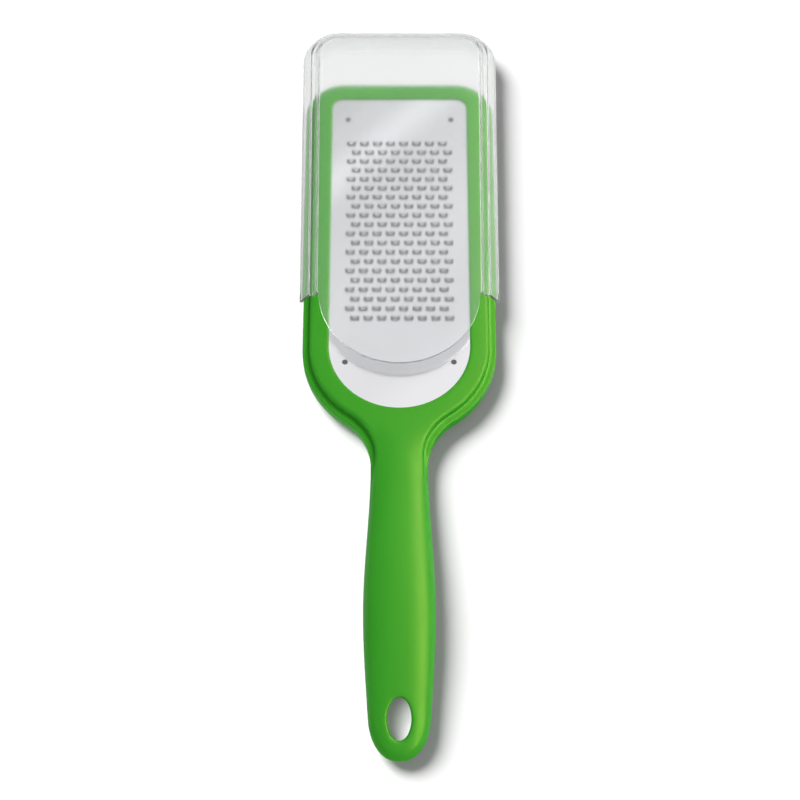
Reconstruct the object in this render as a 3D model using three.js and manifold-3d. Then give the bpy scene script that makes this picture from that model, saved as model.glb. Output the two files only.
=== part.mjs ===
// Fine grater: a moulded handle that carries a frame, an etched steel plate held in that frame,
// and a frosted cover that slides along the rails on the frame's sides.
// Millimetres, +Z up. The grater lies with its teeth up, and +Y points from the handle to the tip.
// Plan sizes are taken from the centre of the frame's round end, and heights from the resting face.

import * as THREE from 'three';
import { mergeVertices } from 'three/addons/utils/BufferGeometryUtils.js';
import Module from 'manifold-3d';

const wasm = await Module();
wasm.setup();

// Steel plate
const plateThickness = 0.5;
const openingHalfWidth = 24.5; // half of the steel that shows between the rims
const openingLength = 103.7; // from the centre of the round end to the straight far edge
const openingCornerRadius = 4;
const plateMargin = 1.2; // steel held inside the frame's groove, all round
const locatingHoleRadius = 1;
const locatingHoleSideInset = 5.7; // hole centre to the opening's side
const locatingHoleFarInset = 9; // hole centre to the opening's far edge
const locatingHoleNearDrop = 6.6; // hole centre below the centre of the round end

// Teeth
const rowPitch = 3.866;
const toothPitch = 4.727;
const rowStagger = 1.82; // sideways shift between one row and the next
const teethFarInset = 19.5; // first row's centre to the opening's far edge
const teethNearInset = 10.7; // last row's centre to the centre of the round end, at least
const teethSideInset = 7; // outermost tooth's centre to the opening's side, at least
const slotWidth = 3.3;
const slotLength = 2.4;
const slotCornerCut = 0.7;
const toothRootWidth = 1.9;
const toothTipWidth = 1.1;
const toothLength = 1.7;
const toothRise = 0.75; // tip above the plate's face
const toothThickness = 0.3;
const toothRootDepth = 0.3; // how far the tooth's root runs into the plate beyond the slot

// Frame
const frameHeight = 11; // rim's top face above the resting face
const rimLip = 0.6; // plastic above the plate's face at the opening
const rimWidth = 6.7; // opening's edge to the rim's edge along the sides
const tipRimWidth = 5.8; // the same across the far end
const rimCornerRadius = 10.8;
const rimEdgeCut = 0.5;
const stepHeight = 3; // from the rim's top face down to the ledge
const ledgeWidth = 2.5; // rim's edge to the rail's outer face
const ledgeFall = 0.5;
const railHeight = 3.8;
const railUndercut = 2; // rail's outer face to the skirt below it
const footCut = 0.8;
const grooveClearance = 0.3; // plate's edge to the bottom of the groove
const grooveHeadroom = 0.1; // plate's face to the groove's upper side
const seatWidth = 1.5; // ledge under the plate, measured in from the opening's edge
const windowDraft = 0.6; // how much the window widens down to the resting face

// Handle, with distances taken from where the shoulder's curve ends
const shoulderRadius = 20.5;
const neckHalfWidth = 9.75;
const gripHalfWidth = 11.9;
const tailHalfWidth = 10.1;
const endHalfWidth = 8.9;
const waistDistance = 5;
const gripDistance = 53.2;
const tailDistance = 89.8;
const handleLength = 103.5;
const neckRootDepth = 1.5; // groove's bottom to where the handle starts, inside the frame's round end
const shoulderBottom = 0.3;
const neckRise = 0.6; // handle's top above the rim's top face, here and at the next four places
const waistRise = 0.9;
const gripRise = 4.2;
const tailRise = 0.6;
const endRise = -1.6;
const neckBottom = 1;
const waistBottom = 0.9;
const gripBottom = 0.6;
const tailBottom = 1.6;
const endBottom = 2.2;
const stepFadeStart = -12; // the step fades into a plain rounded side from here on the shoulder's curve
const stepFadeEnd = 12;
const gripRoundness = 2.7; // superellipse power of the grip's section
const endRoundness = 2.3; // the same for the end, in plan
const endEdgeRoundness = 4; // and in side view
const endFullness = 0.999; // share of the end's curve that is drawn before its small flat tip
const hangingHoleWidth = 7.7;
const hangingHoleLength = 13.7;
const hangingHoleEndInset = 13.9; // hole's centre to the handle's end
const hangingHoleTilt = 20; // degrees its upper mouth leans towards the handle's end

// Cover
const coverWall = 1.1;
const coverTopWall = 1.2;
const coverHeadroom = 3.4; // rim's top face to the underside of the cover's panel
const coverClearance = 0.3;
const coverFlare = 0.8; // growth of the cover's half width from its open end to its far end
const coverEndGap = 0.4; // rail's far end to the cover's end wall when it is pushed home
const coverDrawn = 22; // how far the cover is drawn out of its closed place
const panelInset = 3; // rim's edge to the edge of the flat panel above it
const panelSlopeRun = 2.1;
const panelSlopeDrop = 2;
const ridgeRun = 1.2;
const ridgeDrop = 0.6;
const flankFootRise = 1.1; // foot of the sloping flank above the rail's top
const coverOpenEnd = -3.3; // open end when the cover is pushed home
const lipThickness = 1.2;
const lipClearance = 0.6; // lip's edge to the skirt below the rail
const cornerCutDrop = 7.6; // this far below the panel the cover's open ends start to slant back
const cornerCutSlope = 1; // slant, as run over drop

// Mesh fineness
const arcDivisions = 9;
const shoulderSteps = 14;
const gripSteps = 14;
const endSteps = 7;
const ovalDivisions = 12;
const crownDivisions = 3; // across half of the rim's top face
const sectionAngles = [0, 20, 38, 52, 64, 76, 87, 99, 117, 138, 160, 180]; // degrees from the top
const undersidePoints = 4; // how many of those lie on the handle's underside

// Derived places
const plateFace = frameHeight - rimLip;
const plateUnderside = plateFace - plateThickness;
const rimHalfWidth = openingHalfWidth + rimWidth;
const rimFar = openingLength + tipRimWidth;
const railHalfWidth = rimHalfWidth + ledgeWidth;
const ledgeInner = frameHeight - stepHeight;
const railTop = ledgeInner - ledgeFall;
const railBottom = railTop - railHeight;
const grooveDepth = plateMargin + grooveClearance;
const shoulderCentreX = neckHalfWidth + shoulderRadius;
const shoulderCentreY = -Math.sqrt((railHalfWidth + shoulderRadius) ** 2 - shoulderCentreX ** 2);
const shoulderTangentY = shoulderCentreY * railHalfWidth / (railHalfWidth + shoulderRadius);
const handleEnd = shoulderCentreY - handleLength;
const coverFar = rimFar + ledgeWidth + coverEndGap + coverWall;
const coverHalfWidth = railHalfWidth + coverClearance + coverFlare + coverWall;
const coverCornerRadius = rimCornerRadius + ledgeWidth; // the rail's own, so that its corner stays clear
const coverTop = frameHeight + coverHeadroom + coverTopWall;
const panelHalfWidth = rimHalfWidth + coverFlare - panelInset;
const tongueRadius = panelHalfWidth - coverFlare;
const cornerCutTop = coverTop - cornerCutDrop;
const lipReach = railUndercut - lipClearance;
const lipTop = railBottom - coverClearance;
const lipBottom = lipTop - lipThickness;

const greenPlastic = new THREE.MeshStandardMaterial({ color: 0x3fa02c, roughness: 0.45, metalness: 0 });
const etchedSteel = new THREE.MeshStandardMaterial({ color: 0xd6d8dc, roughness: 0.3, metalness: 1 });
const frostedPlastic = new THREE.MeshStandardMaterial({
  color: 0xeef2f0,
  roughness: 0.5,
  metalness: 0,
  transparent: true,
  opacity: 0.45,
});

function toSolid(geometry) {
  geometry.deleteAttribute('normal');
  geometry.deleteAttribute('uv');
  const merged = mergeVertices(geometry, 1e-4);
  const vertProperties = merged.attributes.position.array;
  const triVerts = new Uint32Array(merged.index.array);
  return new wasm.Manifold(new wasm.Mesh({ numProp: 3, vertProperties, triVerts }));
}

function toMesh(name, solid, material) {
  const { vertProperties, triVerts } = solid.getMesh();
  const geometry = new THREE.BufferGeometry();
  geometry.setAttribute('position', new THREE.BufferAttribute(vertProperties, 3));
  geometry.setIndex(new THREE.BufferAttribute(triVerts, 1));
  geometry.computeVertexNormals();
  const mesh = new THREE.Mesh(geometry, material);
  mesh.name = name;
  return mesh;
}

// A closed solid through rings of equal count, each turning right-handed about the way they advance.
function loft(rings) {
  const count = rings[0].length;
  const last = rings.length - 1;
  const points = rings.flat();
  const faces = [];
  for (let r = 0; r < last; r++) {
    for (let i = 0; i < count; i++) {
      const a = r * count + i;
      const b = r * count + (i + 1) % count;
      faces.push(a, b, b + count, a, b + count, a + count);
    }
  }
  const centreOf = (ring) => ring.reduce((sum, p) => sum.add(p), new THREE.Vector3()).divideScalar(count);
  const startCentre = points.push(centreOf(rings[0])) - 1;
  const endCentre = points.push(centreOf(rings[last])) - 1;
  for (let i = 0; i < count; i++) {
    const next = (i + 1) % count;
    faces.push(startCentre, next, i);
    faces.push(endCentre, last * count + i, last * count + next);
  }
  return toSolid(new THREE.BufferGeometry().setFromPoints(points).setIndex(faces));
}

// The head's plan outline: a half round at the handle's side, straight sides and two far corners.
function headShape(halfWidth, far, cornerRadius) {
  const quarter = Math.PI / 2;
  const shape = new THREE.Shape();
  shape.moveTo(halfWidth, 0);
  shape.absarc(halfWidth - cornerRadius, far - cornerRadius, cornerRadius, 0, quarter);
  shape.absarc(cornerRadius - halfWidth, far - cornerRadius, cornerRadius, quarter, 2 * quarter);
  shape.absarc(0, 0, halfWidth, 2 * quarter, 3 * quarter);
  shape.absarc(0, 0, halfWidth, 3 * quarter, 4 * quarter);
  return shape;
}

// The cover's plan outline: square and a little narrower at the open end, with two far corners.
function coverShape(halfWidth, near, far, cornerRadius) {
  const quarter = Math.PI / 2;
  const shape = new THREE.Shape();
  shape.moveTo(coverFlare - halfWidth, near);
  shape.lineTo(halfWidth - coverFlare, near);
  shape.absarc(halfWidth - cornerRadius, far - cornerRadius, cornerRadius, 0, quarter);
  shape.absarc(cornerRadius - halfWidth, far - cornerRadius, cornerRadius, quarter, 2 * quarter);
  return shape;
}

// A ring of a plan outline at one height, with the closing point left out.
function ringAt(shape, z, divisions = arcDivisions) {
  const outline = shape.getPoints(divisions);
  if (outline[0].distanceTo(outline[outline.length - 1]) < 1e-6) outline.pop();
  return outline.map((p) => new THREE.Vector3(p.x, p.y, z));
}

// The frame's outer body, as plan outlines stepped in and out with height from the rim's edge.
function makeFrameBody() {
  const levels = [
    [ledgeWidth - railUndercut - footCut, 0],
    [ledgeWidth - railUndercut, footCut],
    [ledgeWidth - railUndercut, railBottom],
    [ledgeWidth, railBottom],
    [ledgeWidth, railTop],
    [0, ledgeInner],
    [0, frameHeight - rimEdgeCut],
    [-rimEdgeCut, frameHeight],
  ];
  return loft(levels.map(([offset, z]) =>
    ringAt(headShape(rimHalfWidth + offset, rimFar + offset, rimCornerRadius + offset), z)));
}

// The window below the plate, the groove round the plate's edge and the opening above it, in one cut.
function makeWindowCut() {
  const grooveTop = plateFace + grooveHeadroom;
  const overrun = 1;
  const levels = [
    [windowDraft - seatWidth, -overrun],
    [-seatWidth, plateUnderside],
    [grooveDepth, plateUnderside],
    [grooveDepth, grooveTop],
    [0, grooveTop],
    [0, frameHeight + overrun],
  ];
  return loft(levels.map(([offset, z]) =>
    ringAt(headShape(openingHalfWidth + offset, openingLength + offset, openingCornerRadius + offset), z)));
}

// Handle sizes along the way past the shoulder, from a few stations: half width, top and underside.
const stationDistances = [
  shoulderCentreY - shoulderTangentY,
  0,
  waistDistance,
  gripDistance,
  tailDistance,
  handleLength,
];
const stationSizes = [
  [neckHalfWidth, frameHeight, shoulderBottom],
  [neckHalfWidth, frameHeight + neckRise, neckBottom],
  [neckHalfWidth, frameHeight + waistRise, waistBottom],
  [gripHalfWidth, frameHeight + gripRise, gripBottom],
  [tailHalfWidth, frameHeight + tailRise, tailBottom],
  [endHalfWidth, frameHeight + endRise, endBottom],
];
const stations = new THREE.CubicInterpolant(stationDistances, stationSizes.flat(), 3);

// The half width in plan of a line set in from the rail's outer face: round the frame's end, along
// the shoulder's curve, then the grip.
function planHalfWidth(y, inset) {
  const radius = railHalfWidth - inset;
  const curve = shoulderRadius + inset;
  if (y > shoulderCentreY * radius / (radius + curve)) return Math.sqrt(radius ** 2 - y ** 2);
  if (y > shoulderCentreY) return shoulderCentreX - Math.sqrt(curve ** 2 - (y - shoulderCentreY) ** 2);
  return stations.evaluate(shoulderCentreY - y)[0] - inset;
}

// A point of the grip's superellipse, as shares of its half width and half height.
function roundPoint(degrees) {
  const angle = THREE.MathUtils.degToRad(degrees);
  const across = Math.abs(Math.sin(angle)) ** (2 / gripRoundness);
  const up = Math.sign(Math.cos(angle)) * Math.abs(Math.cos(angle)) ** (2 / gripRoundness);
  return [across, up];
}

// Half of the grip's section, from the top's middle to the underside's.
function roundedSection(halfWidth, top, bottom) {
  const middle = (top + bottom) / 2;
  const rise = (top - bottom) / 2;
  return sectionAngles.map(roundPoint).map(([across, up]) => [halfWidth * across, middle + rise * up]);
}

// Half of the frame's own section with as many points: over the step and rail, then a round underside.
function steppedSection(halfWidth, rim, top, bottom) {
  const railFace = top - stepHeight - ledgeFall;
  const railFoot = railFace - railHeight;
  const crown = Array.from({ length: crownDivisions }, (_, i) => [rim * i / crownDivisions, top]);
  const underside = sectionAngles.slice(-undersidePoints).map(roundPoint);
  return [
    ...crown,
    [rim - rimEdgeCut, top],
    [rim, top - rimEdgeCut],
    [rim, top - stepHeight],
    [halfWidth, railFace],
    [halfWidth, railFoot],
    ...underside.map(([across, up]) => [halfWidth * across, railFoot + (railFoot - bottom) * up]),
  ];
}

// One ring of the handle, whose step fades into the rounded grip.
function handleRing(y) {
  const distance = shoulderCentreY - y;
  const [, top, bottom] = stations.evaluate(distance);
  const capLength = handleLength - tailDistance;
  const past = Math.max(0, distance - tailDistance) / capLength;
  const taper = (1 - past ** endRoundness) ** (1 / endRoundness);
  const halfWidth = planHalfWidth(y, 0) * taper;
  const middle = (top + bottom) / 2;
  const rise = (top - bottom) / 2 * (1 - past ** endEdgeRoundness) ** (1 / endEdgeRoundness);
  const rim = planHalfWidth(y, ledgeWidth) * taper;
  const fade = THREE.MathUtils.smoothstep(distance, stepFadeStart, stepFadeEnd);
  const stepped = steppedSection(halfWidth, rim, middle + rise, middle - rise);
  const rounded = roundedSection(halfWidth, middle + rise, middle - rise);
  const half = stepped.map(([x, z], i) => [
    THREE.MathUtils.lerp(x, rounded[i][0], fade),
    THREE.MathUtils.lerp(z, rounded[i][1], fade),
  ]);
  const right = half.slice(1).reverse().map(([x, z]) => new THREE.Vector3(x, y, z));
  const left = half.slice(0, -1).map(([x, z]) => new THREE.Vector3(-x, y, z));
  return [...right, ...left];
}

// The handle from inside the frame's round end to its tail, closed in a small blunt end.
function makeHandleBody() {
  const start = -(openingHalfWidth + grooveDepth + neckRootDepth);
  const rings = [];
  for (let i = 0; i < shoulderSteps; i++) {
    rings.push(handleRing(THREE.MathUtils.lerp(start, shoulderCentreY, i / shoulderSteps)));
  }
  for (let i = 0; i < gripSteps; i++) {
    rings.push(handleRing(shoulderCentreY - tailDistance * i / gripSteps));
  }
  for (let i = 0; i <= endSteps; i++) {
    const past = endFullness * Math.sin(Math.PI / 2 * i / endSteps);
    rings.push(handleRing(shoulderCentreY - THREE.MathUtils.lerp(tailDistance, handleLength, past)));
  }
  return loft(rings);
}

// The oval hanging hole, straight through and leaning with the drooping end.
function makeHangingHoleCut() {
  const holeDistance = handleLength - hangingHoleEndInset;
  const [, top, bottom] = stations.evaluate(holeDistance);
  const reach = (top - bottom + hangingHoleLength) / 2;
  const oval = new THREE.Shape();
  oval.absellipse(0, 0, hangingHoleWidth / 2, hangingHoleLength / 2, 0, 2 * Math.PI);
  const tilt = new THREE.Matrix4().makeRotationX(THREE.MathUtils.degToRad(hangingHoleTilt));
  tilt.setPosition(0, shoulderCentreY - holeDistance, (top + bottom) / 2);
  const rings = [-reach, reach].map((z) => ringAt(oval, z, ovalDivisions));
  return loft(rings.map((ring) => ring.map((p) => p.applyMatrix4(tilt))));
}

function makeHandleFrame() {
  const body = makeFrameBody().add(makeHandleBody());
  const solid = body.subtract(makeWindowCut()).subtract(makeHangingHoleCut());
  return toMesh('handle_frame', solid, greenPlastic);
}

// A tooth's slot in plan, square at its far edge and cut at the corners nearest the handle.
function slotPath(x, y) {
  const half = slotWidth / 2;
  const far = y + slotLength / 2;
  const near = y - slotLength / 2;
  const path = new THREE.Path();
  path.moveTo(x - half, far);
  path.lineTo(x - half, near + slotCornerCut);
  path.lineTo(x - half + slotCornerCut, near);
  path.lineTo(x + half - slotCornerCut, near);
  path.lineTo(x + half, near + slotCornerCut);
  path.lineTo(x + half, far);
  path.closePath();
  return path;
}

// A tooth: a tapered tongue that starts inside the plate and rises over its slot towards the handle.
function makeTooth(x, y) {
  const rootY = y + slotLength / 2 + toothRootDepth;
  const tipY = y + slotLength / 2 - toothLength;
  const slope = toothRise / (rootY - tipY);
  const rootTop = plateFace - slope * toothRootDepth / 2;
  const tipTop = plateFace + toothRise;
  const section = (halfWidth, sectionY, top) => [
    new THREE.Vector3(x + halfWidth, sectionY, top - toothThickness),
    new THREE.Vector3(x + halfWidth, sectionY, top),
    new THREE.Vector3(x - halfWidth, sectionY, top),
    new THREE.Vector3(x - halfWidth, sectionY, top - toothThickness),
  ];
  return loft([section(toothRootWidth / 2, rootY, rootTop), section(toothTipWidth / 2, tipY, tipTop)]);
}

function makeGraterPlate() {
  const outline = headShape(openingHalfWidth + plateMargin, openingLength + plateMargin,
    openingCornerRadius + plateMargin);
  const holeX = openingHalfWidth - locatingHoleSideInset;
  for (const x of [-holeX, holeX]) {
    for (const y of [-locatingHoleNearDrop, openingLength - locatingHoleFarInset]) {
      outline.holes.push(new THREE.Path().absarc(x, y, locatingHoleRadius, 0, 2 * Math.PI));
    }
  }
  const firstRow = openingLength - teethFarInset;
  const toothRows = Math.floor((firstRow - teethNearInset) / rowPitch) + 1;
  const rowSpan = 2 * (openingHalfWidth - teethSideInset) - rowStagger;
  const teethPerRow = Math.floor(rowSpan / toothPitch) + 1;
  const teeth = [];
  for (let row = 0; row < toothRows; row++) {
    const y = firstRow - row * rowPitch;
    const shift = (row % 2 - 0.5) * rowStagger;
    for (let column = 0; column < teethPerRow; column++) {
      const x = (column - (teethPerRow - 1) / 2) * toothPitch + shift;
      outline.holes.push(slotPath(x, y));
      teeth.push(makeTooth(x, y));
    }
  }
  const sheet = new THREE.ExtrudeGeometry(outline, {
    depth: plateThickness,
    bevelEnabled: false,
    curveSegments: arcDivisions,
  });
  sheet.translate(0, 0, plateUnderside);
  const solid = teeth.reduce((plate, tooth) => plate.add(tooth), toSolid(sheet));
  return toMesh('grater_plate', solid, etchedSteel);
}

// The cover's outer profile from the middle of its panel down to the lip, as half width and height.
const ridgeHalfWidth = panelHalfWidth + panelSlopeRun;
const ridgeHeight = coverTop - panelSlopeDrop;
const flankHalfWidth = ridgeHalfWidth + ridgeRun;
const flankHeight = ridgeHeight - ridgeDrop;
const coverProfile = [
  new THREE.Vector2(0, coverTop),
  new THREE.Vector2(panelHalfWidth, coverTop),
  new THREE.Vector2(ridgeHalfWidth, ridgeHeight),
  new THREE.Vector2(flankHalfWidth, flankHeight),
  new THREE.Vector2(coverHalfWidth, railTop + flankFootRise),
  new THREE.Vector2(coverHalfWidth, lipBottom),
];

// The corners of the same profile moved in by the walls, where each two moved sides meet.
function innerCorners(profile) {
  const sides = profile.slice(1).map((end, i) => {
    const along = end.clone().sub(profile[i]).normalize();
    const inward = new THREE.Vector2(along.y, -along.x);
    return { along, start: profile[i].clone().addScaledVector(inward, i === 0 ? coverTopWall : coverWall) };
  });
  return sides.slice(1).map((side, i) => {
    const before = sides[i];
    const gap = side.start.clone().sub(before.start);
    const reach = gap.cross(side.along) / before.along.cross(side.along);
    return before.start.clone().addScaledVector(before.along, reach);
  });
}

// A stack of the cover's outlines, each set in from its outer wall to a given half width.
function coverStack(levels, near) {
  return loft(levels.map(([halfWidth, z]) => {
    const inset = coverHalfWidth - halfWidth;
    return ringAt(coverShape(halfWidth, near, coverFar - inset, coverCornerRadius - inset), z);
  }));
}

// The half-round tongue that carries the panel on over the plate's round end.
function makeTongue() {
  const overlap = 2;
  const shape = new THREE.Shape();
  shape.moveTo(tongueRadius, coverOpenEnd + overlap);
  shape.lineTo(-tongueRadius, coverOpenEnd + overlap);
  shape.absarc(0, coverOpenEnd, tongueRadius, Math.PI, 2 * Math.PI);
  const geometry = new THREE.ExtrudeGeometry(shape, {
    depth: coverTopWall,
    bevelEnabled: false,
    curveSegments: ovalDivisions,
  });
  geometry.translate(0, 0, coverTop - coverTopWall);
  return toSolid(geometry);
}

// A wedge that slants the lower corners of the cover's open end back.
function makeCornerCut() {
  const overrun = 1;
  const drop = cornerCutTop + overrun;
  const near = coverOpenEnd - overrun;
  const shape = new THREE.Shape();
  shape.moveTo(near, cornerCutTop);
  shape.lineTo(near, -overrun);
  shape.lineTo(coverOpenEnd + cornerCutSlope * drop, -overrun);
  shape.lineTo(coverOpenEnd, cornerCutTop);
  const width = 2 * (coverHalfWidth + overrun);
  const geometry = new THREE.ExtrudeGeometry(shape, { depth: width, bevelEnabled: false });
  const across = new THREE.Vector3(1, 0, 0);
  const along = new THREE.Vector3(0, 1, 0);
  const up = new THREE.Vector3(0, 0, 1);
  geometry.applyMatrix4(new THREE.Matrix4().makeBasis(along, up, across));
  geometry.translate(-width / 2, 0, 0);
  return toSolid(geometry);
}

// The cover in its closed place: a sleeve round the rails, closed at the far end and open below.
function makeSlideCover() {
  const overrun = 1;
  const outer = coverProfile.slice(1).reverse().map((p) => [p.x, p.y]);
  const lipHalfWidth = railHalfWidth + coverFlare - lipReach;
  const inner = innerCorners(coverProfile).reverse().map((p) => [p.x, p.y]);
  const hollow = [
    [lipHalfWidth, lipBottom - overrun],
    [lipHalfWidth, lipTop],
    [coverHalfWidth - coverWall, lipTop],
    ...inner,
  ];
  const shell = coverStack(outer, coverOpenEnd).subtract(coverStack(hollow, coverOpenEnd - overrun));
  return toMesh('slide_cover', shell.add(makeTongue()).subtract(makeCornerCut()), frostedPlastic);
}

const slidingCover = new THREE.Group();
slidingCover.add(makeSlideCover());
slidingCover.position.y = coverDrawn;

// The origin lies below the middle of the whole length, on the resting face.
const grater = new THREE.Group();
grater.add(makeHandleFrame(), makeGraterPlate(), slidingCover);
grater.position.y = -(coverFar + coverDrawn + handleEnd) / 2;

export default grater;
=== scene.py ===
# Fine grater: green handle and frame, etched steel plate, frosted cover on the frame's rails
import math
import bpy
import bmesh
from mathutils import Matrix, Vector


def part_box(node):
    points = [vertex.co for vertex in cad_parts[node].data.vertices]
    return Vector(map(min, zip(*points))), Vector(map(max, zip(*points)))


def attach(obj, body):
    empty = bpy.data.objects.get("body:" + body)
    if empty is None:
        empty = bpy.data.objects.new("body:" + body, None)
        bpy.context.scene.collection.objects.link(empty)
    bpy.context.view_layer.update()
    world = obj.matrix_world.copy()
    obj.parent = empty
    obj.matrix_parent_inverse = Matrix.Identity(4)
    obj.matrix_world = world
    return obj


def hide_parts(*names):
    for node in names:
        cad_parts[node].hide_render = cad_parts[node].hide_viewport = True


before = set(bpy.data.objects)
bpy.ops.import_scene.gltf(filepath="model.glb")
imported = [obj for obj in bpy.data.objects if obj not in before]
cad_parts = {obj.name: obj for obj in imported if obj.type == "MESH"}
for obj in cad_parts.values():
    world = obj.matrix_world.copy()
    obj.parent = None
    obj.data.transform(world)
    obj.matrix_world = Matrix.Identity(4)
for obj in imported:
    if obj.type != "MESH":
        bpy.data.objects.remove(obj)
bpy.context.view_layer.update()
mm = 0.001
weld = 0.001 * mm  # points this close become one
_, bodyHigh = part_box("handle_frame")
steelLow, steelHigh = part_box("grater_plate")
_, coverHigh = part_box("slide_cover")
print("frame loaded")


def plan(x, y):
    return Vector((x, y, 0))


def turned(centre, radius, angle):
    return centre + radius * plan(math.cos(angle), math.sin(angle))


def mix(a, b, share):
    return a + (b - a) * share


def smoothStep(value, low, high):
    t = min(max((value - low) / (high - low), 0), 1)
    return t * t * (3 - 2 * t)


def onlyVerts(geom):
    return [part for part in geom if isinstance(part, bmesh.types.BMVert)]


def wholeOf(bm):
    return bm.verts[:] + bm.edges[:] + bm.faces[:]


def toMesh(name, bm):
    mesh = bpy.data.meshes.new(name)
    bm.to_mesh(mesh)
    bm.free()
    return mesh


def toScene(name, data):
    item = bpy.data.objects.new(name, data)
    bpy.context.collection.objects.link(item)
    return item


def addPiece(name, bm, material, body, node):
    for face in bm.faces:
        face.smooth = True
    mesh = toMesh(name, bm)
    mesh.materials.append(material)
    piece = toScene(name, mesh)
    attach(piece, body)
    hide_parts(node)
    print(name, len(mesh.polygons), "faces")
    return piece


# materials

def startMaterial(name):
    material = bpy.data.materials.new(name)
    material.use_nodes = True
    nodes, links = material.node_tree.nodes, material.node_tree.links
    return material, nodes, links, nodes["Principled BSDF"]


def addNoise(nodes, links, scale, stretch, detail):
    coords = nodes.new("ShaderNodeTexCoord")
    mapping = nodes.new("ShaderNodeMapping")
    mapping.inputs["Scale"].default_value = stretch
    noise = nodes.new("ShaderNodeTexNoise")
    noise.inputs["Scale"].default_value = scale
    noise.inputs["Detail"].default_value = detail
    links.new(coords.outputs["Object"], mapping.inputs["Vector"])
    links.new(mapping.outputs["Vector"], noise.inputs["Vector"])
    return noise


def addRange(nodes, links, source, low, high, within=(0, 1)):
    span = nodes.new("ShaderNodeMapRange")
    span.inputs["From Min"].default_value, span.inputs["From Max"].default_value = within
    span.inputs["To Min"].default_value = low
    span.inputs["To Max"].default_value = high
    links.new(source, span.inputs["Value"])
    return span.outputs["Result"]


def addBump(nodes, links, shader, height, strength, distance):
    bump = nodes.new("ShaderNodeBump")
    bump.inputs["Strength"].default_value = strength
    bump.inputs["Distance"].default_value = distance
    links.new(height, bump.inputs["Height"])
    links.new(bump.outputs["Normal"], shader.inputs["Normal"])


greenFinish = {
    "dark": (0.042, 0.375, 0.024, 1),
    "light": (0.05, 0.41, 0.028, 1),
    "change": (0.3, 0.7),  # of the drift, from dark to light
    "drift": (45, (1, 0.4, 1), 2),  # scale, stretch and detail of the pigment's slow drift
    "grain": (2600, (1, 1, 1), 3),  # and of the mould's fine eroded grain
    "grainBump": (0.12, 0.05 * mm),  # strength and depth
    "roughness": (0.4, 0.52),
    "ior": 1.48,
    "specular": 0.07,
    "specularTint": (1, 0.85, 0.15, 1),
}


def makeGreenPlastic():
    material, nodes, links, shader = startMaterial("greenPlastic")
    drift = addNoise(nodes, links, *greenFinish["drift"])
    ramp = nodes.new("ShaderNodeValToRGB")
    first, last = ramp.color_ramp.elements
    first.position, last.position = greenFinish["change"]
    first.color, last.color = greenFinish["dark"], greenFinish["light"]
    links.new(drift.outputs["Fac"], ramp.inputs["Fac"])
    links.new(ramp.outputs["Color"], shader.inputs["Base Color"])
    grain = addNoise(nodes, links, *greenFinish["grain"])
    roughness = addRange(nodes, links, grain.outputs["Fac"], *greenFinish["roughness"])
    links.new(roughness, shader.inputs["Roughness"])
    addBump(nodes, links, shader, grain.outputs["Fac"], *greenFinish["grainBump"])
    shader.inputs["IOR"].default_value = greenFinish["ior"]
    shader.inputs["Specular IOR Level"].default_value = greenFinish["specular"]
    shader.inputs["Specular Tint"].default_value = greenFinish["specularTint"]
    return material


steelFinish = {
    # painted reflection: a slanting bright streak of light laid into the sheet's colour; place from its far
    # left corner to its near right one, and grey
    "paintedReflection": [
        (0.05, 0.69), (0.13, 0.775), (0.213, 0.95), (0.3, 0.785), (0.53, 0.83), (0.74, 0.78), (0.88, 0.85),
    ],
    "paintedReflectionSlant": 45,
    "paintedReflectionScale": 7.77,
    "paintedReflectionShift": 0.754,
    "blue": 1.03,  # against the grey's red and green
    "rolling": (900, (1, 0.02, 1), 4),  # scale, stretch and detail of the rolling lines along the sheet
    "rollingBump": (0.05, 0.02 * mm),  # strength and depth
    "roughness": (0.18, 0.27),
}


def makeEtchedSteel():
    material, nodes, links, shader = startMaterial("etchedSteel")
    shader.inputs["Metallic"].default_value = 1
    coords = nodes.new("ShaderNodeTexCoord")
    slant = nodes.new("ShaderNodeMapping")
    slant.inputs["Location"].default_value = (steelFinish["paintedReflectionShift"], 0, 0)
    slant.inputs["Rotation"].default_value = (0, 0, math.radians(steelFinish["paintedReflectionSlant"]))
    slant.inputs["Scale"].default_value = [steelFinish["paintedReflectionScale"]] * 3
    # painted reflection: a slanting gradient that brightens the steel's base colour along one streak
    paintedReflection = nodes.new("ShaderNodeTexGradient")
    ramp = nodes.new("ShaderNodeValToRGB")
    ramp.color_ramp.interpolation = "EASE"
    stops = ramp.color_ramp.elements
    stops.remove(stops[1])
    for place, grey in steelFinish["paintedReflection"]:
        stop = stops.new(place)
        stop.color = (grey, grey, grey * steelFinish["blue"], 1)
    stops.remove(stops[0])
    links.new(coords.outputs["Object"], slant.inputs["Vector"])
    links.new(slant.outputs["Vector"], paintedReflection.inputs["Vector"])
    links.new(paintedReflection.outputs["Fac"], ramp.inputs["Fac"])
    links.new(ramp.outputs["Color"], shader.inputs["Base Color"])
    rolling = addNoise(nodes, links, *steelFinish["rolling"])
    roughness = addRange(nodes, links, rolling.outputs["Fac"], *steelFinish["roughness"])
    links.new(roughness, shader.inputs["Roughness"])
    addBump(nodes, links, shader, rolling.outputs["Fac"], *steelFinish["rollingBump"])
    return material


frostFinish = {
    "dark": (0.935, 0.943, 0.942, 1),
    "light": (0.962, 0.967, 0.966, 1),
    "cloud": (60, (1, 1, 1), 2),  # scale, stretch and detail
    "ior": 1.45,
    "etchedFrom": (13.8 * mm, 14.4 * mm),  # height where the flanks end and the etched panel begins
    "roughness": (0.14, 0.27),  # of the flanks and of the panel, as in the next three
    "transmission": (0.97, 0.985),
    "specular": (0.22, 0.5),
    # painted shade: the flanks' colour is scaled darker than the panel's, for the light lost through the
    # slanted walls
    "paintedFlankShade": (0.95, 1),
}


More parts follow.
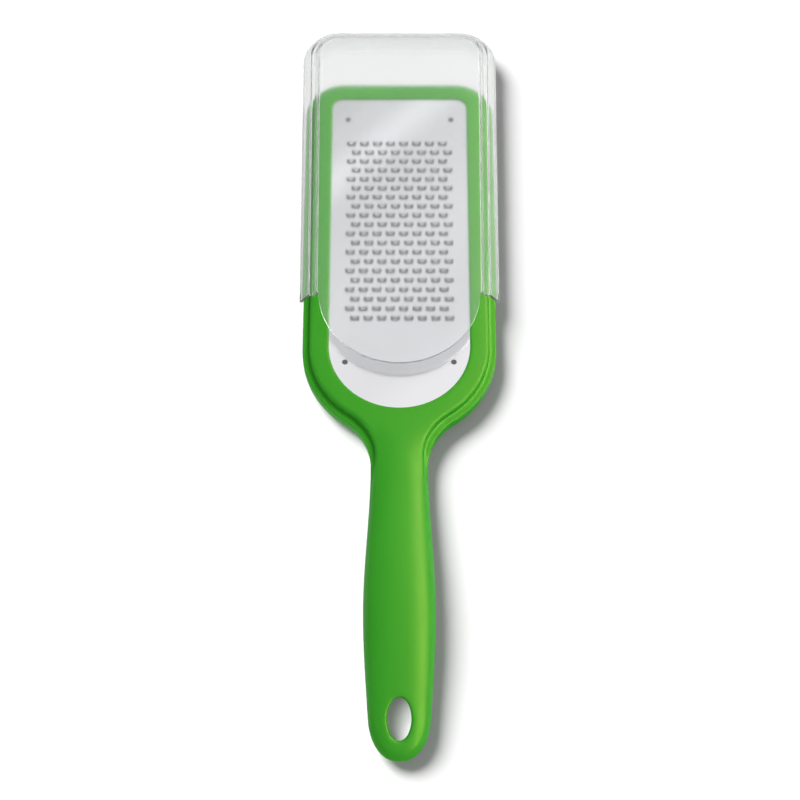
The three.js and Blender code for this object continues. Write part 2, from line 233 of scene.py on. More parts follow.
def makeFrostedPlastic():
    material, nodes, links, shader = startMaterial("frostedPlastic")
    cloud = addNoise(nodes, links, *frostFinish["cloud"])
    ramp = nodes.new("ShaderNodeValToRGB")
    first, last = ramp.color_ramp.elements
    first.color, last.color = frostFinish["dark"], frostFinish["light"]
    links.new(cloud.outputs["Fac"], ramp.inputs["Fac"])
    # painted shade: scales the cover's colour down on the flanks, up to full on the panel
    paintedFlankShade = nodes.new("ShaderNodeVectorMath")
    paintedFlankShade.operation = "SCALE"
    links.new(ramp.outputs["Color"], paintedFlankShade.inputs["Vector"])
    links.new(paintedFlankShade.outputs["Vector"], shader.inputs["Base Color"])
    place = nodes.new("ShaderNodeSeparateXYZ")
    links.new(nodes.new("ShaderNodeTexCoord").outputs["Object"], place.inputs["Vector"])
    for socket, quality in ((shader.inputs["Roughness"], "roughness"),
                            (shader.inputs["Transmission Weight"], "transmission"),
                            (shader.inputs["Specular IOR Level"], "specular"),
                            (paintedFlankShade.inputs["Scale"], "paintedFlankShade")):
        flank, panel = frostFinish[quality]
        byHeight = addRange(nodes, links, place.outputs["Z"], flank, panel, frostFinish["etchedFrom"])
        links.new(byHeight, socket)
    shader.inputs["IOR"].default_value = frostFinish["ior"]
    return material


greenPlastic = makeGreenPlastic()
etchedSteel = makeEtchedSteel()
frostedPlastic = makeFrostedPlastic()
print("materials made")


# head of the frame in plan: lines set in from the rail's outer face, and lines set into the opening

head = {
    "openingHalf": 24.5 * mm,
    "openingLength": 103.7 * mm,  # round end's centre to the straight far edge
    "openingCorner": 4 * mm,
    "railLength": 112 * mm,
    "railCorner": 13.3 * mm,
    "rimTop": 11 * mm,
    "roundSteps": 30,
    "sideSteps": 12,
    "cornerSteps": 14,
    "farSteps": 8,
}
head["railHalf"] = bodyHigh.x
head["centreY"] = bodyHigh.y - head["railLength"]

# set in from the rail's face, and height from the rim's top
stepProfile = [
    (3.5, -0.3), (3, -0.42), (2.63, -0.72), (2.5, -1.1),
    (2.5, -1.8), (2.5, -2.5), (2.44, -2.92), (2.2, -3.1),
    (1.2, -3.12), (0.4, -3.13), (0.12, -3.16), (0.03, -3.26), (0, -3.5),
    (0, -5.5), (0, -6.9), (0.08, -7.2), (0.35, -7.3),
]
skirtProfile = [
    (1.7, -7.3), (1.97, -7.45), (2, -7.8), (2, -9), (2, -10.1), (2.2, -10.6), (2.5, -10.86), (3, -11),
]
# set into the opening, and height above the resting face
windowProfile = [
    (0.45, 0), (0.8, 0.12), (0.95, 0.5), (1.5, 9.45), (1.45, 9.78), (1.2, 9.86),
    (-1.3, 9.86), (-1.3, 10.44), (-0.06, 10.44), (0, 10.55), (-0.1, 10.86), (-0.4, 11),
]
crownShares = [0.12, 0.26, 0.4, 0.54, 0.68, 0.82, 0.94]
footShares = [0.35, 0.7, 1]
crownDrop = -stepProfile[0][1] * mm  # the rim's top falls off a little towards its outer edge
crownInset = windowProfile[-1][0] * mm

handle = {
    "shoulderRadius": 20.5 * mm,
    "neckHalf": 9.75 * mm,
    "stations": [-17.01, 0, 5, 53.2, 89.8, 103.5],  # past the shoulder, in millimetres as the next three
    "half": [9.75, 9.75, 9.75, 11.9, 10.1, 8.9],
    "top": [11, 11.6, 11.9, 15.2, 11.6, 9.4],
    "bottom": [0.3, 1, 0.9, 0.6, 1.6, 2.2],
    "tail": 89.8 * mm,
    "length": 103.5 * mm,
    "stepFade": (-12 * mm, 12 * mm),
    "roundness": 2.7,
    "edgeShare": 0.86,  # where the crown ends in a fine edge and the steep side begins
    "sideBend": 0.55,
    "endRoundness": 2.3,
    "holeHalf": (3.85 * mm, 6.85 * mm),
    "holeInset": 13.9 * mm,  # hole's centre to the handle's end
    "holeLean": math.tan(math.radians(20)),
    "holeRound": 0.8 * mm,
    "holeRoundRows": 3,
    "holeClear": 3 * mm,  # past the hole, where the sections begin to cross the whole handle
    "holeRun": 25 * mm,  # over which the middle line leaves the hole's lean
    "skirtBlend": (0.2, 1),  # of the shoulder, from the handle's underside to the frame's foot
    "shoulderSteps": 26,
    "gripSteps": 40,
    "endSteps": 40,
}
reach = head["railHalf"] + handle["shoulderRadius"]
handle["shoulderX"] = handle["neckHalf"] + handle["shoulderRadius"]
handle["shoulderY"] = -math.sqrt(reach ** 2 - handle["shoulderX"] ** 2)
handle["holeY"] = handle["shoulderY"] - handle["length"] + handle["holeInset"]


def headLine(stretch, t, inset):
    half = head["railHalf"] - inset
    corner = head["railCorner"] - inset
    far = head["railLength"] - inset
    if stretch == "round":
        start = math.atan2(handle["shoulderY"], handle["shoulderX"])
        return turned(plan(0, 0), half, mix(start, 0, t))
    if stretch == "side":
        return plan(half, mix(0, far - corner, t))
    if stretch == "corner":
        return turned(plan(half - corner, far - corner), corner, mix(0, math.pi / 2, t))
    return plan(mix(half - corner, 0, t), far)


def openingLine(stretch, t, inset):
    half = head["openingHalf"] - inset
    corner = head["openingCorner"] - inset
    far = head["openingLength"] - inset
    if stretch == "round":
        return turned(plan(0, 0), half, mix(-math.pi / 2, 0, t))
    if stretch == "side":
        return plan(half, mix(0, far - corner, t))
    if stretch == "corner":
        return turned(plan(half - corner, far - corner), corner, mix(0, math.pi / 2, t))
    return plan(mix(half - corner, 0, t), far)


def lifted(point, z):
    return plan(point.x, point.y) + Vector((0, 0, z))


def headSection(outer, opening, top):
    inner, edge = opening(crownInset), outer(stepProfile[0][0] * mm)
    points = [lifted(opening(inset * mm), z * mm) for inset, z in windowProfile]
    points += [lifted(inner.lerp(edge, share), mix(head["rimTop"], top, share) - crownDrop * share ** 2)
               for share in crownShares]
    points += [lifted(outer(inset * mm), top + z * mm) for inset, z in stepProfile]
    points += [lifted(outer(inset * mm), head["rimTop"] + z * mm) for inset, z in skirtProfile]
    foot, window = outer(skirtProfile[-1][0] * mm), opening(windowProfile[0][0] * mm)
    points += [lifted(foot.lerp(window, share), 0) for share in footShares]
    return points


def alongHandle(size, y):
    at = (handle["shoulderY"] - y) / mm
    places, values = handle["stations"], handle[size]
    rates = [(values[i + 1] - values[i]) / (places[i + 1] - places[i]) for i in range(len(places) - 1)]
    slopes = [rates[0]] + [(a + b) / 2 for a, b in zip(rates, rates[1:])] + [rates[-1]]
    i = 0
    while i < len(rates) - 1 and at > places[i + 1]:
        i += 1
    span = places[i + 1] - places[i]
    t = min(max((at - places[i]) / span, 0), 1)
    rise = values[i] * (1 + 2 * t) * (1 - t) ** 2 + values[i + 1] * t * t * (3 - 2 * t)
    return (rise + span * (slopes[i] * t * (1 - t) ** 2 - slopes[i + 1] * t * t * (1 - t))) * mm


def pastTail(y):
    return max(0, handle["shoulderY"] - handle["tail"] - y) / (handle["length"] - handle["tail"])


def gripOutline(y):
    power = handle["endRoundness"]
    return plan(alongHandle("half", y) * max(0, 1 - pastTail(y) ** power) ** (1 / power), y)


# section angles of the rounded grip for the rows of crown, step and underside
crownAngles = [9, 18, 27, 35, 42, 48, 52]
stepAngles = [54, 56, 57.5, 59, 63, 67, 69, 71, 75, 79, 82, 85, 88, 93, 98, 102, 105]
underAngles = [109, 114, 119, 125, 131, 137, 144, 152, 161, 170, 180]


def roundRise(share):
    return max(0, 1 - share ** handle["roundness"]) ** (1 / handle["roundness"])


# heights of the rounded grip over a point in plan, whose share is 0 in the middle and 1 at the outline
def roundHeights(point):
    across, power = abs(point.x) / alongHandle("half", point.y), handle["endRoundness"]
    share = (across ** power + pastTail(point.y) ** power) ** (1 / power)
    top, bottom = alongHandle("top", point.y), alongHandle("bottom", point.y)
    middle, rise = (top + bottom) / 2, (top - bottom) / 2
    edge = handle["edgeShare"]
    side = min(1, max(0, 1 - share) / (1 - edge)) ** handle["sideBend"]
    return middle + rise * roundRise(min(share, edge)) * side, middle - rise * roundRise(share)


def stepFade(side):
    return smoothStep(handle["shoulderY"] - side.y, *handle["stepFade"])


def roundAcross(degrees):
    return math.sin(math.radians(degrees)) ** (2 / handle["roundness"]) if degrees < 180 else 0


# one section of the handle from its middle, or the hole's two mouths, out to the side
def handleSection(side, outer, upper, lower):
    power = handle["roundness"]
    edge = outer(stepProfile[0][0] * mm)
    stepped = []
    for share in crownShares:
        point = upper.lerp(edge, share)
        stepped.append(lifted(point, alongHandle("top", point.y) - crownDrop * share ** 2))
    stepped += [lifted(outer(i * mm), alongHandle("top", outer(i * mm).y) + z * mm) for i, z in stepProfile]
    railFoot = stepped[-1].z
    for angle in underAngles:
        across = roundAcross(mix(90, 180, (angle - stepAngles[-1]) / (180 - stepAngles[-1])))
        point = lower.lerp(side, across)
        drop = (railFoot - alongHandle("bottom", point.y)) * (1 - across ** power) ** (1 / power)
        stepped.append(lifted(point, railFoot - drop))
    points = []
    for angle, point in zip(crownAngles + stepAngles + underAngles, stepped):
        flat = (upper if angle < 90 else lower).lerp(side, roundAcross(angle))
        rounded = lifted(flat, roundHeights(flat)[angle > 90])
        points.append(point.lerp(rounded, stepFade(side)))
    return points


def crownHeight(point, side):
    return mix(alongHandle("top", point.y), roundHeights(point)[0], stepFade(side))


# the middle of the solid handle, in as many rows as the window's wall
def middleWall(low, high):
    rows = len(windowProfile) - 1
    return [low.lerp(high, i / rows) for i in range(rows + 1)]


def holeOval(turn, grow):
    wide, long = handle["holeHalf"]
    long = long * math.sqrt(1 + handle["holeLean"] ** 2)
    return plan((wide + grow) * math.cos(turn), handle["holeY"] + (long + grow) * math.sin(turn))


# the hole's leaning wall with its rounded edges
def holeWall(turn, low, high):
    rows, radius = len(windowProfile) - 1, handle["holeRound"]
    roundRows = handle["holeRoundRows"]
    straight = (high.z - low.z - 2 * radius) / (rows - 2 * roundRows)
    wall = [low]
    for i in range(1, rows):
        fromEdge = min(i, rows - i)
        curl = min(fromEdge, roundRows) / roundRows * math.pi / 2
        height = radius * (1 - math.cos(curl)) + max(0, fromEdge - roundRows) * straight
        z = low.z + height if i < rows / 2 else high.z - height
        lean = mix(low.y, high.y, (z - low.z) / (high.z - low.z)) - holeOval(turn, radius).y
        wall.append(lifted(holeOval(turn, radius * (1 - math.sin(curl))) + plan(0, lean), z))
    return wall + [high]


def holeMouths(turn, side):
    middle = (alongHandle("top", handle["holeY"]) + alongHandle("bottom", handle["holeY"])) / 2
    level = holeOval(turn, handle["holeRound"])
    upper = level - plan(0, (crownHeight(level, side) - middle) * handle["holeLean"])
    lower = level + plan(0, (middle - roundHeights(level)[1]) * handle["holeLean"])
    return upper, lower


def handleSections():
    sections = []
    tip = handle["shoulderY"] - handle["length"]
    clearY = holeOval(math.pi / 2, handle["holeRound"]).y + handle["holeClear"]
    for i in range(handle["endSteps"] + 1):
        t = i / handle["endSteps"]
        side = gripOutline(mix(clearY, tip, math.cos(math.pi / 2 * t)))
        turn = mix(-math.pi / 2, math.pi / 2, t)
        upper, lower = holeMouths(turn, side)
        inward = (plan(0, max(side.y, handle["holeY"])) - side).normalized()
        points = handleSection(side, lambda inset: side + inward * inset, upper, lower)
        wall = holeWall(turn, lifted(lower, points[-1].z), lifted(upper, crownHeight(upper, side)))
        sections.append(wall + points)
    upperEnd, lowerEnd = (mouth.y - clearY for mouth in holeMouths(math.pi / 2, gripOutline(clearY)))
    for i in range(1, handle["gripSteps"]):
        side = gripOutline(mix(clearY, handle["shoulderY"], i / handle["gripSteps"]))
        lag = 1 - smoothStep(side.y, clearY, clearY + handle["holeRun"])
        upper, lower = plan(0, side.y + upperEnd * lag), plan(0, side.y + lowerEnd * lag)
        points = handleSection(side, lambda inset: side - plan(inset, 0), upper, lower)
        wall = middleWall(lifted(lower, points[-1].z), lifted(upper, crownHeight(upper, side)))
        sections.append(wall + points)
    return sections


def shoulderSections():
    sections = []
    middle = plan(handle["shoulderX"], handle["shoulderY"])
    last = math.atan2(-handle["shoulderY"], -handle["shoulderX"])
    lowRows = len(skirtProfile) + len(footShares)
    for i in range(handle["shoulderSteps"]):
        t = i / handle["shoulderSteps"]
        angle = mix(math.pi, last, t)
        inner = plan(0, mix(handle["shoulderY"], -head["openingHalf"] + crownInset, t))
        outer = lambda inset: turned(middle, handle["shoulderRadius"] + inset, angle)
        top = alongHandle("top", outer(0).y)
        near = handleSection(outer(0), outer, inner, inner)
        near = middleWall(lifted(inner, near[-1].z), lifted(inner, crownHeight(inner, outer(0)))) + near
        far = headSection(outer, lambda inset: inner, top)
        share = smoothStep(t, *handle["skirtBlend"])
        low = [a.lerp(b, share) for a, b in zip(near[-lowRows:], far[-lowRows:])]
        sections.append(near[:-lowRows] + low)
    return sections


def headSections():
    sections = []
    for stretch, steps in (("round", head["roundSteps"]), ("side", head["sideSteps"]),
                           ("corner", head["cornerSteps"]), ("far", head["farSteps"])):
        for i in range(steps + (stretch == "far")):
            t = i / steps
            sections.append(headSection(lambda inset: headLine(stretch, t, inset),
                                        lambda inset: openingLine(stretch, t, inset), head["rimTop"]))
    return sections


def makeHandleFrame():
    sections = handleSections() + shoulderSections() + headSections()
    columns, rows = len(sections), len(sections[0])
    bm = bmesh.new()
    bmesh.ops.create_grid(bm, x_segments=columns - 1, y_segments=rows - 1, size=0.5)
    for v in bm.verts:
        column, row = round((v.co.x + 0.5) * (columns - 1)), round((v.co.y + 0.5) * (rows - 1))
        v.co = sections[column][row] + plan(0, head["centreY"])
    inside = [f for f in bm.faces if all(abs(v.co.x) < weld / 10 for v in f.verts)]  # on the middle plane
    bmesh.ops.delete(bm, geom=inside, context="FACES")
    bmesh.ops.mirror(bm, geom=wholeOf(bm), axis="X", merge_dist=weld)
    bmesh.ops.remove_doubles(bm, verts=bm.verts, dist=weld)
    bmesh.ops.recalc_face_normals(bm, faces=bm.faces)
    return addPiece("handleFrame", bm, greenPlastic, "grater", "handle_frame")


handleFrame = makeHandleFrame()


# steel plate with bent teeth

plate = {
    "margin": 1.2 * mm,
    "rowPitch": 3.866 * mm,
    "toothPitch": 4.727 * mm,
    "stagger": 1.82 * mm,
    "rows": 20,
    "teeth": 8,
    "firstRow": 84 * mm,
    "slot": (3.3 * mm, 2.05 * mm),
    "slotCut": 0.7 * mm,
    "cutDepth": 4 * mm,  # of the cutters, right through the sheet
    "toothRoot": 2.1 * mm,
    "toothTip": 1.3 * mm,
    "toothLength": 1.4 * mm,
    "toothRise": 0.75 * mm,
    "toothThickness": 0.3 * mm,
    "toothHold": 0.15 * mm,  # of its root into the sheet
    "toothCurl": 1.5,
    "toothSteps": (2, 4),  # across and along
    "holeRadius": 1 * mm,
    "holeX": 18.8 * mm,
    "holeY": (-6.6 * mm, 94.7 * mm),
    "roundSteps": 24,
    "cornerSteps": 8,
    "slotSteps": 3,
    "holeSteps": 24,
}
plateFace = steelHigh.z - plate["toothRise"]


def toothPlaces():
    for row in range(plate["rows"]):
        for column in range(plate["teeth"]):
            x = (column - (plate["teeth"] - 1) / 2) * plate["toothPitch"] + (row % 2 - 0.5) * plate["stagger"]
            yield plan(x, plate["firstRow"] - row * plate["rowPitch"] + head["centreY"])


def makeSheet():
    bm = bmesh.new()
    half = head["openingHalf"] + plate["margin"]
    corner = head["openingCorner"] + plate["margin"]
    far = head["openingLength"] + plate["margin"]
    up = Vector((0, 0, 1))
    tip = bm.verts.new((0, -half, 0))
    turn = bmesh.ops.spin(bm, geom=[tip], cent=(0, 0, 0), axis=up, angle=math.pi / 2, steps=plate["roundSteps"])
    side = bmesh.ops.extrude_vert_indiv(bm, verts=onlyVerts(turn["geom_last"]))
    side["verts"][0].co = (half, far - corner, 0)
    turn = bmesh.ops.spin(bm, geom=side["verts"], cent=(half - corner, far - corner, 0), axis=up,
                          angle=math.pi / 2, steps=plate["cornerSteps"])
    end = bmesh.ops.extrude_vert_indiv(bm, verts=onlyVerts(turn["geom_last"]))
    end["verts"][0].co = (0, far, 0)
    bmesh.ops.mirror(bm, geom=bm.verts[:] + bm.edges[:], axis="X", merge_dist=weld)
    bmesh.ops.remove_doubles(bm, verts=bm.verts, dist=weld)
    sheet = bmesh.ops.contextual_create(bm, geom=bm.edges[:])
    bmesh.ops.translate(bm, verts=bm.verts, vec=(0, head["centreY"], steelLow.z))
    raised = bmesh.ops.extrude_face_region(bm, geom=sheet["faces"], use_keep_orig=True)
    bmesh.ops.translate(bm, verts=onlyVerts(raised["geom"]), vec=(0, 0, plateFace - steelLow.z))
    bmesh.ops.recalc_face_normals(bm, faces=bm.faces)
    return bm


def makeCutters():
    bm = bmesh.new()
    wide, long = plate["slot"]
    bmesh.ops.create_cube(bm, size=1, matrix=Matrix.Diagonal((wide, long, plate["cutDepth"], 1)))
    upright = [e for e in bm.edges if abs(e.verts[0].co.z - e.verts[1].co.z) > mm]
    near = [e for e in upright if all(v.co.y < 0 for v in e.verts)]
    bmesh.ops.bevel(bm, geom=near, offset=plate["slotCut"], affect="EDGES", segments=plate["slotSteps"],
                    profile=0.5, material=-1)
    slot = wholeOf(bm)
    for place in toothPlaces():
        copy = bmesh.ops.duplicate(bm, geom=slot)
        bmesh.ops.translate(bm, verts=onlyVerts(copy["geom"]), vec=lifted(place, plateFace))
    bmesh.ops.delete(bm, geom=onlyVerts(slot), context="VERTS")
    for x in (-plate["holeX"], plate["holeX"]):
        for y in plate["holeY"]:
            bmesh.ops.create_cone(bm, cap_ends=True, segments=plate["holeSteps"], radius1=plate["holeRadius"],
                                  radius2=plate["holeRadius"], depth=plate["cutDepth"],
                                  matrix=Matrix.Translation((x, y + head["centreY"], plateFace)))
    return bm


# a sheet of steel with its slots and locating holes cut through
def cutSheet():
    sheet = toScene("sheet", toMesh("sheet", makeSheet()))
    cutters = toScene("cutters", toMesh("cutters", makeCutters()))
    cut = sheet.modifiers.new("slots", "BOOLEAN")
    cut.operation, cut.solver, cut.object = "DIFFERENCE", "EXACT", cutters
    bpy.context.view_layer.update()
    bm = bmesh.new()
    bm.from_object(sheet, bpy.context.evaluated_depsgraph_get())
    for mesh in (sheet.data, cutters.data):
        bpy.data.meshes.remove(mesh)  # the object goes with it
    return bm


# a tapered tongue that leaves the slot's far edge and bends up towards the handle
def makeTooth():
    bm = bmesh.new()
    across, lengthwise = plate["toothSteps"]
    bmesh.ops.create_grid(bm, x_segments=across, y_segments=lengthwise, size=0.5)
    for v in bm.verts:
        along = 0.5 - v.co.y
        x = v.co.x * mix(plate["toothRoot"], plate["toothTip"], along)
        y = plate["slot"][1] / 2 + mix(plate["toothHold"], -plate["toothLength"], along)
        v.co = (x, y, plateFace + plate["toothRise"] * along ** plate["toothCurl"])
    bmesh.ops.recalc_face_normals(bm, faces=bm.faces)
    bmesh.ops.solidify(bm, geom=bm.faces[:], thickness=plate["toothThickness"])
    bmesh.ops.recalc_face_normals(bm, faces=bm.faces)
    return toMesh("tooth", bm)


def makeGraterPlate():
    bm = cutSheet()
    tooth = makeTooth()
    for place in toothPlaces():
        before = len(bm.verts)
        bm.from_mesh(tooth)
        bm.verts.ensure_lookup_table()
        bmesh.ops.translate(bm, verts=bm.verts[before:], vec=place)
    bpy.data.meshes.remove(tooth)
    piece = addPiece("graterPlate", bm, etchedSteel, "grater", "grater_plate")
    for face in piece.data.polygons:
        face.use_smooth = False
    return piece


graterPlate = makeGraterPlate()


# frosted cover: one wall swept round the far corner, with a flat panel and a tongue

cover = {
    "wall": 1.1 * mm,
    "flare": 0.8 * mm,
    "corner": 13.3 * mm,
    "openY": 18.7 * mm,  # open end from the round end's centre
    "cutHeight": 8 * mm,  # below this the open end slants back
    "cornerSteps": 16,
    "ridgeRound": 0.75 * mm,
    "ridgeRows": (1, 3, 4),  # points of the profile that are rounded into ridges
    "ridgeSteps": 4,
    "edgeRound": 0.5 * mm,
    "edgeSteps": 3,
    "edgeAngle": 40,
    "tongueSteps": 24,
}
# half width below the widest, and height, from the panel's edge to the lip
coverProfile = [
    (6.9, 15.6), (6, 15.6), (4.7, 13.4), (3.2, 13.3), (0, 8.6), (0, 2.2), (3.2, 2.2),
]


def makeSlideCover():
    bm = bmesh.new()
    row = bm.verts.layers.int.new("row")
    half, far = coverHigh.x, coverHigh.y
    cornerY = far - cover["corner"]
    openY = head["centreY"] + cover["openY"]
    chain = [bm.verts.new((half - inset * mm, cornerY, z * mm)) for inset, z in coverProfile]
    for i, v in enumerate(chain):
        v[row] = i
    edges = [bm.edges.new(pair) for pair in zip(chain, chain[1:])]
    side = bmesh.ops.extrude_edge_only(bm, edges=edges)
    bmesh.ops.translate(bm, verts=onlyVerts(side["geom"]), vec=(-cover["flare"], openY - cornerY, 0))
    turn = bmesh.ops.spin(bm, geom=chain + edges, cent=(half - cover["corner"], cornerY, 0), axis=(0, 0, 1),
                          angle=math.pi / 2, steps=cover["cornerSteps"])
    lastEdges = [part for part in turn["geom_last"] if isinstance(part, bmesh.types.BMEdge)]
    end = bmesh.ops.extrude_edge_only(bm, edges=lastEdges)
    for v in onlyVerts(end["geom"]):
        v.co.x = 0
    # tongue's edge from the open end's panel corner round to the middle
    corner = min((v for v in bm.verts if v[row] == 0), key=lambda v: v.co.y)
    tongue = bmesh.ops.spin(bm, geom=[corner], cent=(0, openY, 0), axis=(0, 0, 1), angle=-math.pi / 2,
                            steps=cover["tongueSteps"])
    for v in onlyVerts(tongue["geom_last"]):
        v.co.x = 0
    bmesh.ops.mirror(bm, geom=wholeOf(bm), axis="X", merge_dist=weld)
    bmesh.ops.remove_doubles(bm, verts=bm.verts, dist=weld)
    bmesh.ops.contextual_create(bm, geom=[e for e in bm.edges if all(v[row] == 0 for v in e.verts)])
    bmesh.ops.recalc_face_normals(bm, faces=bm.faces)
    rowEdges = [e for e in bm.edges if e.verts[0][row] == e.verts[1][row]]
    ridges = [e for e in rowEdges if e.verts[0][row] in cover["ridgeRows"]]
    bmesh.ops.bevel(bm, geom=ridges, offset=cover["ridgeRound"], affect="EDGES", segments=cover["ridgeSteps"],
                    profile=0.5, material=-1)
    cutPlace, cutFacing = Vector((0, openY, cover["cutHeight"])), Vector((0, 1, 1))
    bmesh.ops.bisect_plane(bm, geom=wholeOf(bm), plane_co=cutPlace, plane_no=cutFacing, clear_inner=False)
    slanted = [f for f in bm.faces if (f.calc_center_median() - cutPlace).dot(cutFacing) < -weld / 10
               and f.calc_center_median().z < cover["cutHeight"]]
    bmesh.ops.delete(bm, geom=slanted, context="FACES")
    bmesh.ops.recalc_face_normals(bm, faces=bm.faces)
    piece = addPiece("slideCover", bm, frostedPlastic, "cover", "slide_cover")
    wall = piece.modifiers.new("wall", "SOLIDIFY")
    wall.thickness, wall.offset, wall.use_even_offset = cover["wall"], -1, True
    soft = piece.modifiers.new("soft", "BEVEL")
    soft.width, soft.segments = cover["edgeRound"], cover["edgeSteps"]
    soft.limit_method, soft.angle_limit = "ANGLE", math.radians(cover["edgeAngle"])
    soft.harden_normals = True
    return piece


slideCover = makeSlideCover()


# floor, lights and camera

studio = {
    "floorSize": 4,
    "floorColour": 0.3,
    "floorGlow": 0.12,
    "floorThrough": 0.93,  # brightness of the floor through the cover
    "shadowFrom": Vector((-0.6, 0.45, 0.9)),
    "shadowPower": 11.6,
    "shadowAngle": 35,
    "topFrom": Vector((0.62, 0.3, 1.24)),
    "topSize": (0.8, 0.8),
    "topPower": 12,
    "topShare": 0.8,  # of the top light that goes through the cover
    "glossFrom": Vector((0.37, 0.06, 0.41)),
    "glossSize": (1.2, 0.25),
    "glossPower": 50,
    "ridgeFrom": Vector((0.48, 0.25, 0.25)),
    "ridgeSize": (0.6, 0.6),
    "ridgePower": {"ridgeRight": 0.9, "ridgeLeft": 0.5},
    "edgeFrom": Vector((0, -0.53, 0.28)),
    "edgeSize": (0.8, 0.3),
    "edgePower": 1.8,
    "holeFrom": Vector((-0.26, -0.12, 0.6)),
    "holeSize": (0.36, 0.36),
    "holePower": 12,
    "holeFloor": (8.6 * mm, 20 * mm, 0.02 * mm),  # width, length and height above the floor
    "ambient": 0.38,
    "mirrored": 0.75,  # brightness of the room as the steel mirrors it through the cover
    "overhead": (0.1, 0.5),  # rise of the room that turns to white in gloss
    "cameraElevation": 62,
    "cameraDistance": 748 * mm,
    "cameraTarget": Vector((0.2 * mm, -14.95 * mm, 10.4 * mm)),
    "lens": 98.46,
    "sensorWidth": 36,
}


# a maths node whose inputs are sockets or plain numbers
def addMath(nodes, links, operation, *values):
    node = nodes.new("ShaderNodeMath")
    node.operation = operation
    for socket, value in zip(node.inputs, values):
        if isinstance(value, bpy.types.NodeSocket):
            links.new(value, socket)
        else:
            socket.default_value = value
    return node.outputs[0]


# 1 for rays of this kind that no matt surface has scattered; depths are whole numbers
def seenStraight(nodes, links, kind):
    rays = nodes.new("ShaderNodeLightPath")
    unscattered = addMath(nodes, links, "LESS_THAN", rays.outputs["Diffuse Depth"], 0.5)
    return addMath(nodes, links, "MULTIPLY", rays.outputs[kind], unscattered)


# pale, and plain white where it is seen through the cover or mirrored beside the frame
def makePaleFloor():
    material, nodes, links, shader = startMaterial("paleFloor")
    shader.inputs["Base Color"].default_value = (*[studio["floorColour"]] * 3, 1)
    shader.inputs["Roughness"].default_value = 1
    shader.inputs["Specular IOR Level"].default_value = 0
    shader.inputs["Emission Color"].default_value = (1, 1, 1, 1)
    shader.inputs["Emission Strength"].default_value = studio["floorGlow"]
    place = nodes.new("ShaderNodeSeparateXYZ")
    links.new(nodes.new("ShaderNodeTexCoord").outputs["Object"], place.inputs["Vector"])
    across = addMath(nodes, links, "ABSOLUTE", place.outputs["X"])
    skirt = skirtProfile[2][0] * mm
    beside = addMath(nodes, links, "GREATER_THAN", across, bodyHigh.x - skirt)
    beyond = addMath(nodes, links, "GREATER_THAN", place.outputs["Y"], bodyHigh.y - skirt)
    bare = addMath(nodes, links, "MAXIMUM", beside, beyond)
    through = seenStraight(nodes, links, "Is Transmission Ray")
    mirrored = seenStraight(nodes, links, "Is Glossy Ray")
    seen = addMath(nodes, links, "MAXIMUM", through, mirrored)
    white = nodes.new("ShaderNodeEmission")
    white.inputs["Strength"].default_value = studio["floorThrough"]
    swap = nodes.new("ShaderNodeMixShader")
    links.new(addMath(nodes, links, "MULTIPLY", seen, bare), swap.inputs["Fac"])
    links.new(shader.outputs["BSDF"], swap.inputs[1])
    links.new(white.outputs["Emission"], swap.inputs[2])
    links.new(swap.outputs["Shader"], nodes["Material Output"].inputs["Surface"])
    return material


def makeFloor(name, wide, long, middle, material):
    bm = bmesh.new()
    bmesh.ops.create_grid(bm, x_segments=1, y_segments=1, size=0.5,
                          matrix=Matrix.Translation(middle) @ Matrix.Diagonal((wide, long, 1, 1)))
    mesh = toMesh(name, bm)
    mesh.materials.append(material)
    floor = toScene(name, mesh)
    return floor


def linkedGroup(name, pieces):
    group = bpy.data.collections.new(name)
    for piece in pieces:
        group.objects.link(piece)
    return group


def makeLight(name, kind, offset, power, receivers):
    data = bpy.data.lights.new(name, kind)
    data.energy = power
    light = toScene(name, data)
    light.location = studio["cameraTarget"] + offset
    light.rotation_euler = offset.to_track_quat("Z", "Y").to_euler()
    light.light_linking.receiver_collection = linkedGroup(name + "Lit", receivers)
    return light


# a wide lamp; the see-through cover doesn't shade it unless it is named
def makeSoftbox(name, offset, size, power, receivers, shades=()):
    light = makeLight(name, "AREA", offset, power, receivers)
    light.data.shape = "RECTANGLE"
    light.data.size, light.data.size_y = size
    light.light_linking.blocker_collection = linkedGroup(name + "Shade", [handleFrame, graterPlate, *shades])
    light.visible_transmission = False
    return light


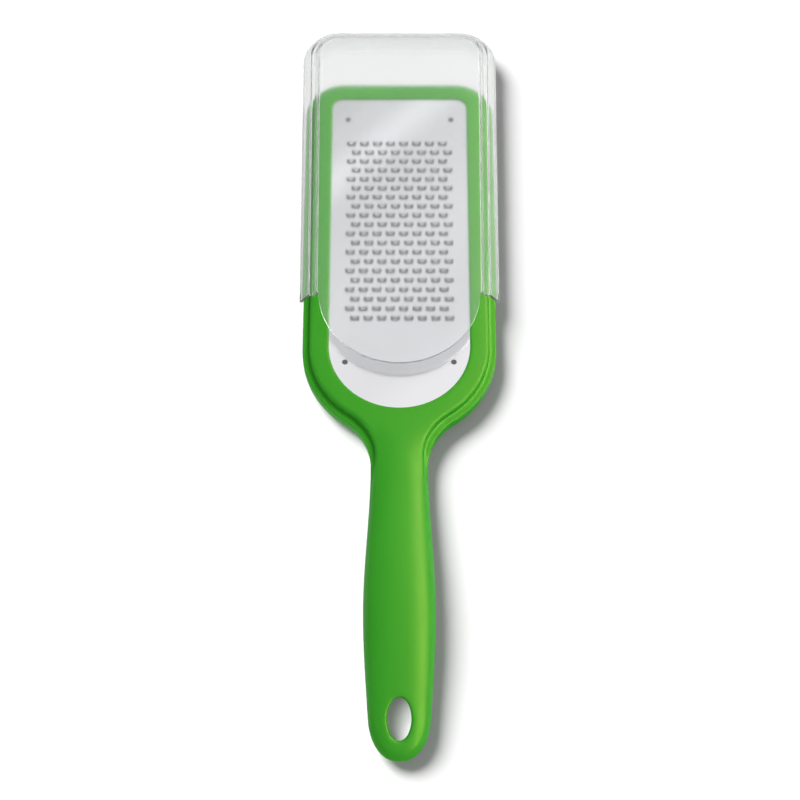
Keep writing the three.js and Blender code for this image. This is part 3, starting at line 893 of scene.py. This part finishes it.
# a room that is white to the camera and through the cover, and in gloss white overhead
def makeWorld():
    world = bpy.data.worlds.new("paleRoom")
    world.use_nodes = True
    nodes, links = world.node_tree.nodes, world.node_tree.links
    room = nodes["Background"]
    room.inputs["Color"].default_value = (1, 1, 1, 1)
    room.inputs["Strength"].default_value = studio["ambient"]
    white = nodes.new("ShaderNodeBackground")
    white.inputs["Color"].default_value = (1, 1, 1, 1)
    direction = nodes.new("ShaderNodeSeparateXYZ")
    links.new(nodes.new("ShaderNodeTexCoord").outputs["Generated"], direction.inputs["Vector"])
    overhead = addRange(nodes, links, direction.outputs["Z"], 0, 1, studio["overhead"])
    fac = addMath(nodes, links, "MULTIPLY", seenStraight(nodes, links, "Is Glossy Ray"), overhead)
    for kind in ("Is Camera Ray", "Is Transmission Ray"):
        fac = addMath(nodes, links, "MAXIMUM", fac, seenStraight(nodes, links, kind))
    # dimmer where the steel mirrors it through the cover
    rays = nodes.new("ShaderNodeLightPath")
    reflected = addMath(nodes, links, "GREATER_THAN", rays.outputs["Glossy Depth"], 0.5)
    once = addMath(nodes, links, "LESS_THAN", rays.outputs["Transmission Depth"], 2.5)
    both = addMath(nodes, links, "MULTIPLY", reflected, once)
    mirrored = addMath(nodes, links, "MULTIPLY", both, rays.outputs["Is Transmission Ray"])
    dimming = addMath(nodes, links, "MULTIPLY", mirrored, 1 - studio["mirrored"])
    links.new(addMath(nodes, links, "SUBTRACT", 1, dimming), white.inputs["Strength"])
    swap = nodes.new("ShaderNodeMixShader")
    links.new(fac, swap.inputs["Fac"])
    links.new(room.outputs[0], swap.inputs[1])
    links.new(white.outputs[0], swap.inputs[2])
    links.new(swap.outputs[0], nodes["World Output"].inputs["Surface"])
    bpy.context.scene.world = world


paleFloor = makePaleFloor()
floor = makeFloor("floor", studio["floorSize"], studio["floorSize"], plan(0, 0), paleFloor)
# the bit of floor below the hanging hole, where light falls through
holeMiddle = plan(0, handle["holeY"] + head["centreY"])
wide, long, lift = studio["holeFloor"]
patchMiddle = lifted(holeMiddle + plan(0, handle["holeHalf"][0]), lift)
holeFloor = makeFloor("holeFloor", wide, long, patchMiddle, paleFloor)
makeWorld()
shadowSun = makeLight("shadowSun", "SUN", studio["shadowFrom"], studio["shadowPower"], [floor, holeFloor])
shadowSun.data.angle = math.radians(studio["shadowAngle"])
shadowSun.visible_transmission = False  # the cover's shadow is as deep as the frame's
through = studio["topPower"] * studio["topShare"]
makeSoftbox("top", studio["topFrom"], studio["topSize"], through, [handleFrame, slideCover])
makeSoftbox("topShaded", studio["topFrom"], studio["topSize"], studio["topPower"] - through,
            [handleFrame, slideCover], [slideCover])
gloss = makeSoftbox("gloss", studio["glossFrom"], studio["glossSize"], studio["glossPower"], [handleFrame])
gloss.visible_diffuse = False
for name, side in (("ridgeRight", 1), ("ridgeLeft", -1)):
    aim = studio["ridgeFrom"] * Vector((side, 1, 1))
    ridge = makeSoftbox(name, aim, studio["ridgeSize"], studio["ridgePower"][name], [slideCover])
    ridge.visible_diffuse = False
edge = makeSoftbox("edge", studio["edgeFrom"], studio["edgeSize"], studio["edgePower"], [slideCover])
edge.visible_diffuse = False
hole = makeSoftbox("hole", studio["holeFrom"], studio["holeSize"], studio["holePower"], [holeFloor])
hole.location = holeMiddle + studio["holeFrom"]

cameraData = bpy.data.cameras.new("camera")
cameraData.lens = studio["lens"]
cameraData.sensor_width = studio["sensorWidth"]
camera = toScene("camera", cameraData)
tilt = math.radians(studio["cameraElevation"])
view = Vector((0, -math.cos(tilt), math.sin(tilt)))
camera.location = studio["cameraTarget"] + view * studio["cameraDistance"]
camera.rotation_euler = view.to_track_quat("Z", "Y").to_euler()
bpy.context.scene.camera = camera
bpy.context.scene.view_settings.view_transform = "Standard"
print("studio set")

bpy.context.view_layer.update()
